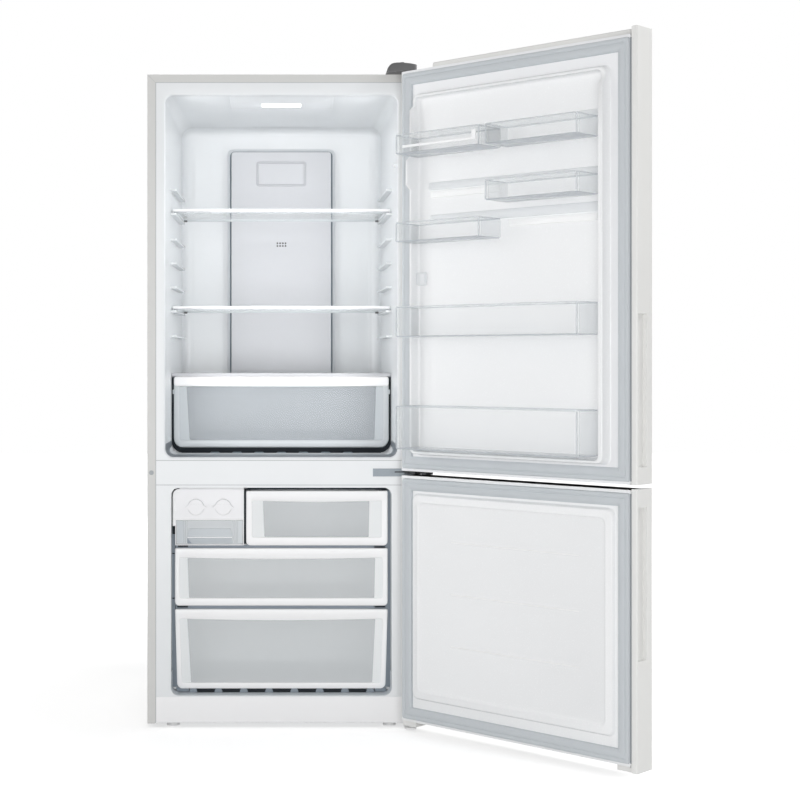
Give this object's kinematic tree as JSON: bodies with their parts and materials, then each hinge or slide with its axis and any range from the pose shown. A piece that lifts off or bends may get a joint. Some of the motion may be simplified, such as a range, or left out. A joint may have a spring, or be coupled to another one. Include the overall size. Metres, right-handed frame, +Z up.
{
  "type": "bottom freezer refrigerator",
  "caption": "Tall white two-door refrigerator with the freezer below, doors hinged on the right, glass shelves, door bins, crisper and freezer drawers.",
  "frame": {"origin": "centre of the cabinet's footprint, on the floor that the feet and rollers stand on", "axes": "+Z up, front towards -Y, door hinges on the +X side"},
  "size_m": [1.2012, 1.1789, 1.727],
  "materials": {
    "painted_steel": "satin white enamel",
    "door_steel": "satin white enamel",
    "galvanised": "galvanised",
    "hinge_steel": "zinc plated",
    "foam": "rigid foam",
    "white_liner": "glossy moulded",
    "white_trim": "glossy moulded",
    "duct_plastic": "satin moulded",
    "dark_plastic": "satin dark grey",
    "gasket_rubber": "soft grey",
    "mount_rubber": "matt black",
    "clear_plastic": "clear",
    "lens_plastic": "frosted",
    "shelf_glass": "tempered glass",
    "coil_aluminium": "bare",
    "compressor_black": "black enamel"
  },
  "bodies": {
    "cabinet": {"outer_wrap": "painted_steel", "back_panel": "galvanised", "base_pan": "galvanised", "cabinet_foam": "foam", "fridge_liner": "white_liner", "freezer_liner": "white_liner", "mullion_cover": "painted_steel", "base_panel": "white_trim", "hole_plug": "white_trim", "door_hinges": "hinge_steel", "hinge_screws": "hinge_steel", "top_hinge_cover": "dark_plastic", "lamp_housing": "white_trim", "lamp_lens": "lens_plastic", "air_duct_cover": "duct_plastic", "crisper_cover_frame": "white_trim", "crisper_cover_glass": "shelf_glass", "freezer_back_cover": "white_trim", "evaporator": "coil_aluminium", "defrost_heater": "galvanised", "fan_motor": "dark_plastic", "ice_maker_housing": "white_trim", "compressor": "compressor_black", "compressor_mounts": "mount_rubber", "drip_tray": "dark_plastic", "condenser": "compressor_black", "compressor_cover": "galvanised", "power_inlet": "dark_plastic"},
    "fridge_door": {"fridge_door_skin": "door_steel", "fridge_door_foam": "foam", "fridge_door_liner": "white_liner", "fridge_door_gasket": "gasket_rubber", "fridge_door_trim": "white_trim"},
    "freezer_door": {"freezer_door_skin": "door_steel", "freezer_door_foam": "foam", "freezer_door_liner": "white_liner", "freezer_door_gasket": "gasket_rubber", "freezer_door_trim": "white_trim"},
    "top_left_bin": {"top_left_bin": "clear_plastic"},
    "top_right_bin": {"top_right_bin": "clear_plastic"},
    "middle_right_bin": {"middle_right_bin": "clear_plastic"},
    "middle_left_bin": {"middle_left_bin": "clear_plastic"},
    "wide_bin": {"wide_bin": "clear_plastic"},
    "bottle_bin": {"bottle_bin": "clear_plastic"},
    "upper_shelf": {"upper_shelf_frame": "white_trim", "upper_shelf_glass": "shelf_glass"},
    "lower_shelf": {"lower_shelf_frame": "white_trim", "lower_shelf_glass": "shelf_glass"},
    "crisper_drawer": {"crisper_drawer": "white_trim"},
    "top_freezer_drawer": {"top_freezer_drawer": "white_trim"},
    "middle_freezer_drawer": {"middle_freezer_drawer": "white_trim"},
    "bottom_freezer_drawer": {"bottom_freezer_drawer": "white_trim"},
    "ice_bin": {"ice_bin": "clear_plastic"},
    "left_ice_tray": {"left_ice_tray": "white_trim"},
    "right_ice_tray": {"right_ice_tray": "white_trim"},
    "fan_blade": {"fan_blade": "white_trim"},
    "left_front_foot": {"left_front_foot": "dark_plastic"},
    "right_front_foot": {"right_front_foot": "dark_plastic"},
    "rear_rollers": {"rear_rollers": "dark_plastic"},
    "door_switch_plunger": {"door_switch_plunger": "white_trim"}
  },
  "joints": [
    {"name": "fridge_door_swing", "type": "hinge", "parent": "cabinet", "child": "fridge_door", "pos_m": [0.3375, -0.357, 0.6735], "axis": [0, 0, 1], "range_deg": [-135.4, 0]},
    {"name": "freezer_door_swing", "type": "hinge", "parent": "cabinet", "child": "freezer_door", "pos_m": [0.3375, -0.357, 0.031], "axis": [0, 0, 1], "range_deg": [-135.4, 0]},
    {"name": "top_left_bin_lift", "type": "slide", "parent": "fridge_door", "child": "top_left_bin", "axis": [0, 0, 1], "range_m": [0, 0.024]},
    {"name": "top_right_bin_lift", "type": "slide", "parent": "fridge_door", "child": "top_right_bin", "axis": [0, 0, 1], "range_m": [0, 0.024]},
    {"name": "middle_right_bin_lift", "type": "slide", "parent": "fridge_door", "child": "middle_right_bin", "axis": [0, 0, 1], "range_m": [0, 0.024]},
    {"name": "middle_left_bin_lift", "type": "slide", "parent": "fridge_door", "child": "middle_left_bin", "axis": [0, 0, 1], "range_m": [0, 0.024]},
    {"name": "wide_bin_lift", "type": "slide", "parent": "fridge_door", "child": "wide_bin", "axis": [0, 0, 1], "range_m": [0, 0.024]},
    {"name": "bottle_bin_lift", "type": "slide", "parent": "fridge_door", "child": "bottle_bin", "axis": [0, 0, 1], "range_m": [0, 0.024]},
    {"name": "upper_shelf_slide", "type": "slide", "parent": "cabinet", "child": "upper_shelf", "axis": [0, -1, 0], "range_m": [0, 0.2]},
    {"name": "lower_shelf_slide", "type": "slide", "parent": "cabinet", "child": "lower_shelf", "axis": [0, -1, 0], "range_m": [0, 0.2]},
    {"name": "crisper_drawer_slide", "type": "slide", "parent": "cabinet", "child": "crisper_drawer", "axis": [0, -1, 0], "range_m": [0, 0.3]},
    {"name": "top_freezer_drawer_slide", "type": "slide", "parent": "cabinet", "child": "top_freezer_drawer", "axis": [0, -1, 0], "range_m": [0, 0.26]},
    {"name": "middle_freezer_drawer_slide", "type": "slide", "parent": "cabinet", "child": "middle_freezer_drawer", "axis": [0, -1, 0], "range_m": [0, 0.26]},
    {"name": "bottom_freezer_drawer_slide", "type": "slide", "parent": "cabinet", "child": "bottom_freezer_drawer", "axis": [0, -1, 0], "range_m": [0, 0.26]},
    {"name": "ice_bin_slide", "type": "slide", "parent": "cabinet", "child": "ice_bin", "axis": [0, -1, 0], "range_m": [0, 0.15]},
    {"name": "left_ice_tray_twist", "type": "hinge", "parent": "cabinet", "child": "left_ice_tray", "pos_m": [-0.2245, -0.285, 0.572], "axis": [0, 1, 0], "range_deg": [0, 110], "stiffness_Nm_per_rad": 0.3, "springref_deg": -8.59},
    {"name": "right_ice_tray_twist", "type": "hinge", "parent": "cabinet", "child": "right_ice_tray", "pos_m": [-0.1525, -0.285, 0.572], "axis": [0, 1, 0], "range_deg": [0, 110], "stiffness_Nm_per_rad": 0.3, "springref_deg": -8.59},
    {"name": "fan_spin", "type": "hinge", "parent": "cabinet", "child": "fan_blade", "pos_m": [0, 0.1, 0.56], "axis": [0, 1, 0], "continuous": true},
    {"name": "left_front_foot_screw", "type": "slide", "parent": "cabinet", "child": "left_front_foot", "axis": [0, 0, -1], "range_m": [0, 0.008]},
    {"name": "right_front_foot_screw", "type": "slide", "parent": "cabinet", "child": "right_front_foot", "axis": [0, 0, -1], "range_m": [0, 0.008]},
    {"name": "rear_rollers_roll", "type": "hinge", "parent": "cabinet", "child": "rear_rollers", "pos_m": [0, 0.285, 0.0165], "axis": [1, 0, 0], "continuous": true},
    {"name": "door_switch_press", "type": "slide", "parent": "cabinet", "child": "door_switch_plunger", "axis": [1, 0, 0], "range_m": [0, 0.004], "stiffness_N_per_m": 300, "springref_m": -0.002}
  ]
}
